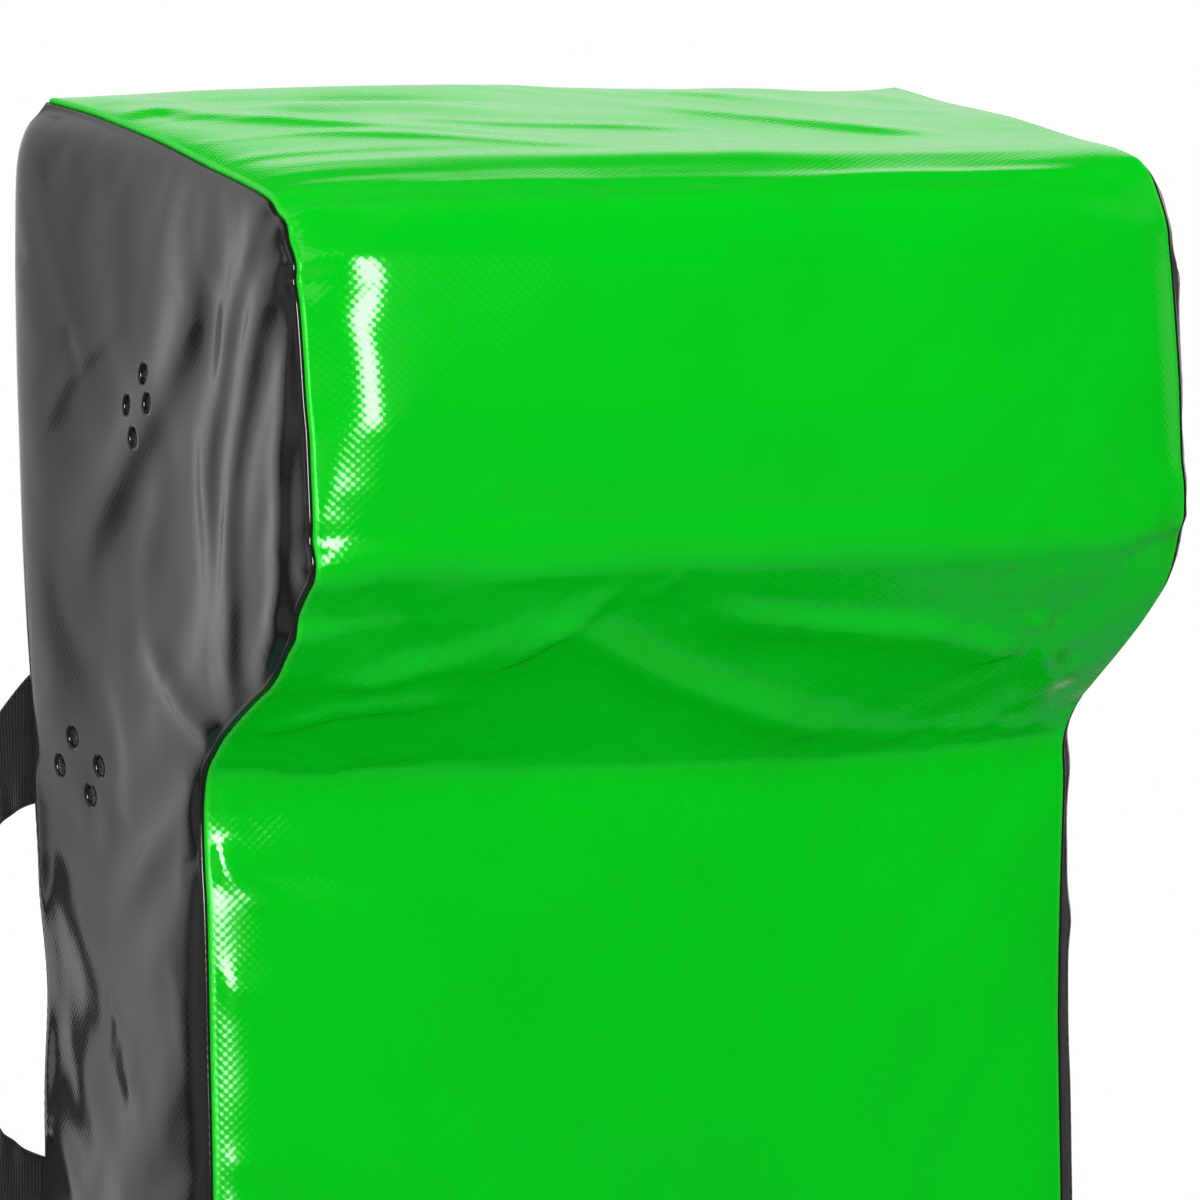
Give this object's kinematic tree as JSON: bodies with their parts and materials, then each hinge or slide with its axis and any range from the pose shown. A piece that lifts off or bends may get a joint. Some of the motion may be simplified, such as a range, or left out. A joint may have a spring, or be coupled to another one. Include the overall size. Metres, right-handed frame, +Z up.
{
  "type": "tackle wedge",
  "caption": "Upright foam contact pad with an overhanging head and a slanted underside, in a zipped PVC cover with a swinging webbing handle on each back corner.",
  "frame": {"origin": "centre of the base, on the surface that the pad stands on", "axes": "+Z up; -Y is the way the impact face looks, +Y is behind the pad where the holder stands; +X is the pad's left seen from the holder's side facing it, which is the right of a viewer who looks at the impact face"},
  "size_m": [0.554, 0.4043, 0.932],
  "materials": {
    "green_pvc": "gloss",
    "black_pvc": "satin",
    "webbing": "matte",
    "foam_soft": "matte",
    "foam_firm": "matte",
    "zip_metal": "satin",
    "zip_plastic": "satin"
  },
  "bodies": {
    "pad": {"front_cover": "green_pvc", "left_side_panel": "black_pvc", "right_side_panel": "black_pvc", "back_panel_left": "black_pvc", "back_panel_right": "black_pvc", "base_panel": "black_pvc", "left_upper_patch": "black_pvc", "left_lower_patch": "black_pvc", "right_upper_patch": "black_pvc", "right_lower_patch": "black_pvc", "zip_tape_left": "webbing", "zip_tape_right": "webbing", "left_seam_binding": "webbing", "right_seam_binding": "webbing", "foam_core": "foam_soft", "foam_nose": "foam_soft", "upper_face_pad": "foam_soft", "lower_face_pad": "foam_soft", "foam_back_slab": "foam_firm", "zip_bottom_stop": "zip_metal", "zip_top_stop": "zip_metal", "zip_chain": "zip_plastic"},
    "left_handle": {"left_handle": "webbing"},
    "right_handle": {"right_handle": "webbing"},
    "zip_slider": {"zip_slider": "zip_metal"},
    "zip_pull": {"zip_pull": "zip_metal"}
  },
  "joints": [
    {"name": "left_handle_swing", "type": "hinge", "parent": "pad", "child": "left_handle", "pos_m": [-0.2156, 0.1036, 0.515], "axis": [0, 0, 1], "range_deg": [-80, 80]},
    {"name": "right_handle_swing", "type": "hinge", "parent": "pad", "child": "right_handle", "pos_m": [0.2156, 0.1036, 0.515], "axis": [0, 0, 1], "range_deg": [-80, 80]},
    {"name": "zip_slide", "type": "slide", "parent": "pad", "child": "zip_slider", "axis": [0, 0, 1], "range_m": [0, 0.8]},
    {"name": "zip_pull_swing", "type": "hinge", "parent": "zip_slider", "child": "zip_pull", "pos_m": [0, 0.10795, 0.066], "axis": [1, 0, 0], "range_deg": [0, 170]}
  ]
}
